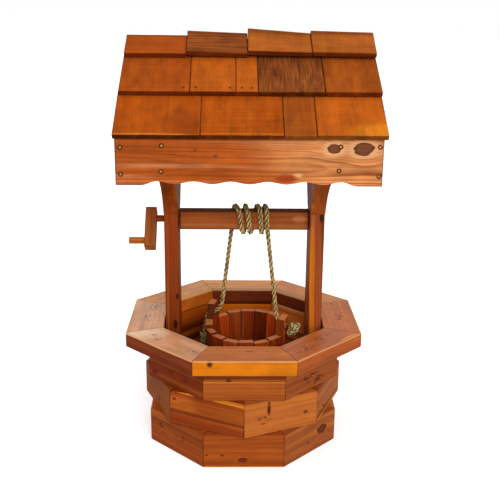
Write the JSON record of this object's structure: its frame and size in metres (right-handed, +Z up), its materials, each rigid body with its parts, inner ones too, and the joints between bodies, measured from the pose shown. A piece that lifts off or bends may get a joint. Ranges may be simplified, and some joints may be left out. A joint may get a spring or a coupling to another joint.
{
  "type": "wishing well planter",
  "caption": "Octagonal garden planter of stacked boards with a shingled gable roof on posts, and a crank-turned roller that raises a stave bucket on a rope.",
  "frame": {"origin": "on the ground, under the middle of the octagonal box", "axes": "+Z up, +X to the right of the front view with the crank at -X, +Y to the back"},
  "size_m": [0.6056, 0.595, 1.0521],
  "materials": {
    "rim_cedar": "satin sealer",
    "ring_cedar": "satin sealer",
    "deck_wood": "plain sawn",
    "post_cedar": "satin sealer",
    "fascia_cedar": "satin sealer",
    "shingle_cedar": "satin sealer",
    "roller_cedar": "satin sealer",
    "dowel_wood": "satin sealer",
    "rope_fibre": "matt twisted fibre",
    "bucket_cedar": "satin sealer"
  },
  "bodies": {
    "planter": {"rim_board_1": "rim_cedar", "rim_board_2": "rim_cedar", "rim_board_3": "rim_cedar", "rim_board_4": "rim_cedar", "rim_board_5": "rim_cedar", "rim_board_6": "rim_cedar", "rim_board_7": "rim_cedar", "rim_board_8": "rim_cedar", "lower_ring_board_1": "ring_cedar", "lower_ring_board_2": "ring_cedar", "lower_ring_board_3": "ring_cedar", "lower_ring_board_4": "ring_cedar", "lower_ring_board_5": "ring_cedar", "lower_ring_board_6": "ring_cedar", "lower_ring_board_7": "ring_cedar", "lower_ring_board_8": "ring_cedar", "middle_ring_board_1": "ring_cedar", "middle_ring_board_2": "ring_cedar", "middle_ring_board_3": "ring_cedar", "middle_ring_board_4": "ring_cedar", "middle_ring_board_5": "ring_cedar", "middle_ring_board_6": "ring_cedar", "middle_ring_board_7": "ring_cedar", "middle_ring_board_8": "ring_cedar", "upper_ring": "ring_cedar", "floor_board_1": "deck_wood", "floor_board_2": "deck_wood", "floor_board_3": "deck_wood", "left_post": "post_cedar", "right_post": "post_cedar", "left_roof_arm": "post_cedar", "right_roof_arm": "post_cedar", "front_left_knee": "post_cedar", "front_right_knee": "post_cedar", "back_left_knee": "post_cedar", "back_right_knee": "post_cedar", "front_fascia": "fascia_cedar", "back_fascia": "fascia_cedar", "left_gable": "fascia_cedar", "right_gable": "fascia_cedar", "front_roof_deck": "deck_wood", "back_roof_deck": "deck_wood", "front_eave_shingles": "shingle_cedar", "front_middle_shingles": "shingle_cedar", "front_ridge_shingles": "shingle_cedar", "back_eave_shingles": "shingle_cedar", "back_middle_shingles": "shingle_cedar", "back_ridge_shingles": "shingle_cedar"},
    "crank": {"roller": "roller_cedar", "crank_axle": "dowel_wood", "roller_pin": "dowel_wood", "crank_arm": "post_cedar", "crank_handle": "dowel_wood", "rope_winding": "rope_fibre"},
    "hanging_rope": {"left_rope": "rope_fibre", "right_rope": "rope_fibre"},
    "bucket": {"bucket_staves": "bucket_cedar", "bucket_base": "bucket_cedar", "left_knot": "rope_fibre", "right_knot": "rope_fibre"}
  },
  "joints": [
    {"name": "crank_turn", "type": "hinge", "parent": "planter", "child": "crank", "pos_m": [0, 0, 0.5775], "axis": [1, 0, 0], "range_deg": [-90, 270]},
    {"name": "rope_swing", "type": "hinge", "parent": "planter", "child": "hanging_rope", "pos_m": [0, 0, 0.5775], "axis": [1, 0, 0], "range_deg": [-10, 10]},
    {"name": "bucket_lift", "type": "slide", "parent": "hanging_rope", "child": "bucket", "axis": [0, 0, 1], "range_m": [-0.0522, 0.1565], "deforming": ["left_rope", "right_rope"]}
  ],
  "couplings": [
    {"joint": "bucket_lift", "follows": "crank_turn", "m_per_rad": 0.0332}
  ]
}
